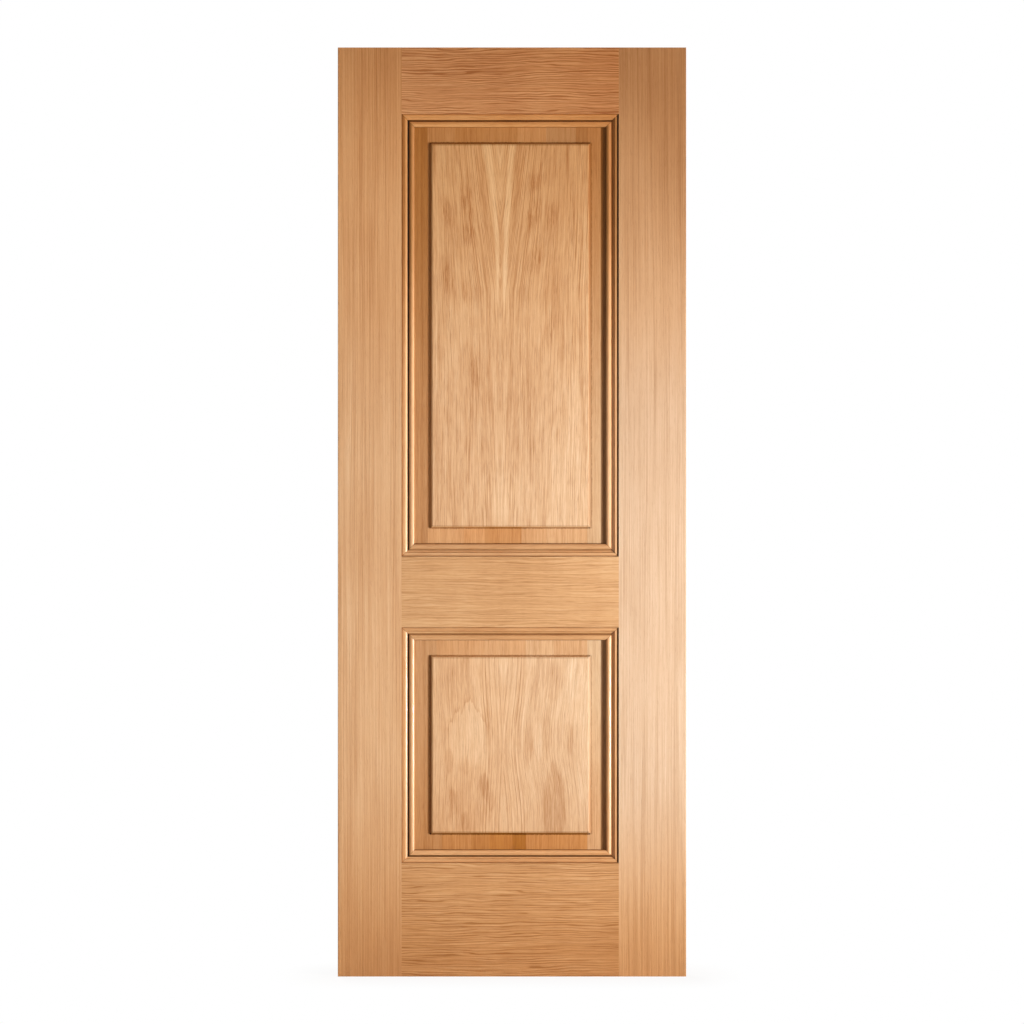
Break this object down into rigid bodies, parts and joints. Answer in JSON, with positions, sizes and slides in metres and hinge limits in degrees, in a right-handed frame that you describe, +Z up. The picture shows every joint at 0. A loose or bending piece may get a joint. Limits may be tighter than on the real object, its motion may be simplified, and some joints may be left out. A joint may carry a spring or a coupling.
{
  "type": "fire door leaf",
  "caption": "Oak fire door leaf with raised and fielded panels held between stiles and rails by mitred moulded beads.",
  "frame": {"origin": "middle of the bottom edge of the leaf, at the middle of its thickness", "axes": "+X to the right as seen from the front, +Y through the thickness away from the front, +Z up"},
  "size_m": [0.762, 0.044, 2.032],
  "materials": {
    "oak_stile": "clear satin lacquer",
    "oak_rail": "clear satin lacquer",
    "oak_lipping": "clear satin lacquer",
    "oak_core": "clear satin lacquer",
    "oak_veneer": "clear satin lacquer",
    "oak_bead": "clear satin lacquer",
    "dowel_wood": "bare turned beech",
    "fire_seal": "matt graphite strip"
  },
  "bodies": {
    "root": {"left_stile": "oak_stile", "right_stile": "oak_stile", "top_rail": "oak_rail", "mid_rail": "oak_rail", "bottom_rail": "oak_rail", "left_lipping": "oak_lipping", "right_lipping": "oak_lipping", "dowels": "dowel_wood", "upper_panel": "oak_core", "lower_panel": "oak_core", "upper_seal": "fire_seal", "lower_seal": "fire_seal", "upper_front_veneer": "oak_veneer", "upper_back_veneer": "oak_veneer", "lower_front_veneer": "oak_veneer", "lower_back_veneer": "oak_veneer", "upper_front_bottom_bead": "oak_bead", "upper_front_right_bead": "oak_bead", "upper_front_top_bead": "oak_bead", "upper_front_left_bead": "oak_bead", "upper_back_bottom_bead": "oak_bead", "upper_back_right_bead": "oak_bead", "upper_back_top_bead": "oak_bead", "upper_back_left_bead": "oak_bead", "lower_front_bottom_bead": "oak_bead", "lower_front_right_bead": "oak_bead", "lower_front_top_bead": "oak_bead", "lower_front_left_bead": "oak_bead", "lower_back_bottom_bead": "oak_bead", "lower_back_right_bead": "oak_bead", "lower_back_top_bead": "oak_bead", "lower_back_left_bead": "oak_bead"}
  },
  "joints": []
}
